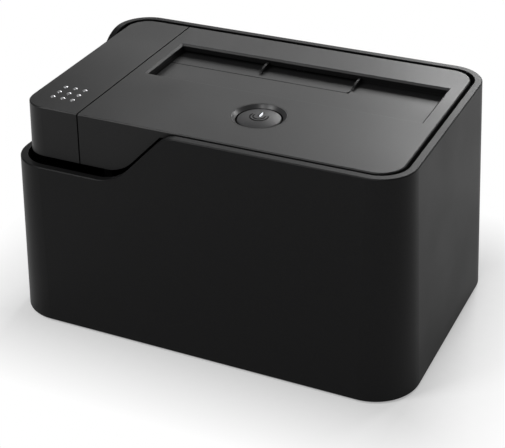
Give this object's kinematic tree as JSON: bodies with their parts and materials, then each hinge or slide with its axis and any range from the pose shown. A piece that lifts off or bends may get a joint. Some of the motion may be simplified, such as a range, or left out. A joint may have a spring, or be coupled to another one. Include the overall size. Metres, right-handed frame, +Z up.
{
  "type": "hard drive docking station",
  "caption": "Upright dock for one bare 3.5 or 2.5 inch drive, with an eject lever, sprung slot flaps, power button and rear sockets.",
  "frame": {"origin": "on the table, below the middle of the case", "axes": "+X to the right seen from the front, +Y to the back, +Z up"},
  "size_m": [0.1536, 0.0996, 0.0838],
  "materials": {
    "tub_plastic": "fine matt texture",
    "cover_plastic": "fine matt texture",
    "inner_plastic": "smooth satin",
    "flap_plastic": "fine matt texture",
    "button_plastic": "satin",
    "ring_plastic": "gloss",
    "bright_dots": "bright gloss",
    "light_guide": "clear white",
    "white_plastic": "smooth",
    "connector_plastic": "smooth",
    "gold_contacts": "plated",
    "bright_steel": "bright",
    "board_green": "solder mask",
    "chip_black": "matt epoxy",
    "capacitor_sleeve": "shrink sleeve",
    "ferrite": "sintered",
    "foot_rubber": "matt"
  },
  "bodies": {
    "case": {"outer_shell": "tub_plastic", "top_cover": "cover_plastic", "base_plate": "tub_plastic", "rubber_foot_1": "foot_rubber", "rubber_foot_2": "foot_rubber", "rubber_foot_3": "foot_rubber", "rubber_foot_4": "foot_rubber", "bay_guide": "inner_plastic", "large_flap_pin": "bright_steel", "small_flap_pin": "bright_steel", "lever_pin": "bright_steel", "rocker_pin": "bright_steel", "ejector_spring_1": "bright_steel", "ejector_spring_2": "bright_steel", "return_spring": "bright_steel", "drive_connector": "connector_plastic", "drive_contacts": "gold_contacts", "usb_shell": "bright_steel", "usb_tongue": "connector_plastic", "power_jack": "connector_plastic", "power_jack_pin": "bright_steel", "main_board": "board_green", "button_board": "board_green", "bridge_chip": "chip_black", "board_capacitors": "capacitor_sleeve", "power_inductor": "ferrite", "base_screws": "bright_steel", "board_screws": "bright_steel", "bay_screws": "bright_steel", "button_board_screws": "bright_steel", "button_ring": "ring_plastic", "push_switch": "connector_plastic", "status_led": "light_guide", "ribbon_header": "white_plastic", "ribbon_socket": "white_plastic", "button_ribbon": "white_plastic"},
    "eject_lever": {"eject_lever": "cover_plastic", "lever_grips": "bright_dots"},
    "ejector_rocker": {"ejector_rocker": "white_plastic"},
    "ejector_slider": {"ejector_slider": "white_plastic"},
    "power_button": {"power_button": "button_plastic", "light_bar": "light_guide", "switch_plunger": "button_plastic"},
    "large_flap": {"large_flap": "flap_plastic", "large_flap_spring": "bright_steel"},
    "small_flap": {"small_flap": "flap_plastic", "small_flap_spring": "bright_steel"}
  },
  "joints": [
    {"name": "eject_press", "type": "hinge", "parent": "case", "child": "eject_lever", "pos_m": [-0.054, 0.0365, 0.0748], "axis": [1, 0, 0], "range_deg": [0, 3.6], "stiffness_Nm_per_rad": 3, "springref_deg": -1.72},
    {"name": "rocker_turn", "type": "hinge", "parent": "case", "child": "ejector_rocker", "pos_m": [-0.042, -0.0045, 0.0116], "axis": [0, -1, 0], "range_deg": [0, 9.4], "deforming": ["return_spring"]},
    {"name": "ejector_lift", "type": "slide", "parent": "case", "child": "ejector_slider", "axis": [0, 0, 1], "range_m": [0, 0.0043], "deforming": ["ejector_spring_1", "ejector_spring_2"]},
    {"name": "power_press", "type": "slide", "parent": "case", "child": "power_button", "axis": [0, 0, -1], "range_m": [0, 0.001], "stiffness_N_per_m": 1500, "springref_m": -0.0005},
    {"name": "large_flap_fold", "type": "hinge", "parent": "case", "child": "large_flap", "pos_m": [0.01155, -0.0053, 0.0792], "axis": [-1, 0, 0], "range_deg": [0, 88], "stiffness_Nm_per_rad": 0.004, "springref_deg": -28.65},
    {"name": "small_flap_fold", "type": "hinge", "parent": "case", "child": "small_flap", "pos_m": [-0.005, 0.0285, 0.0792], "axis": [1, 0, 0], "range_deg": [0, 88], "stiffness_Nm_per_rad": 0.003, "springref_deg": -22.92}
  ],
  "couplings": [
    {"joint": "rocker_turn", "follows": "eject_press", "ratio": 2.6},
    {"joint": "ejector_lift", "follows": "eject_press", "m_per_rad": 0.068}
  ]
}
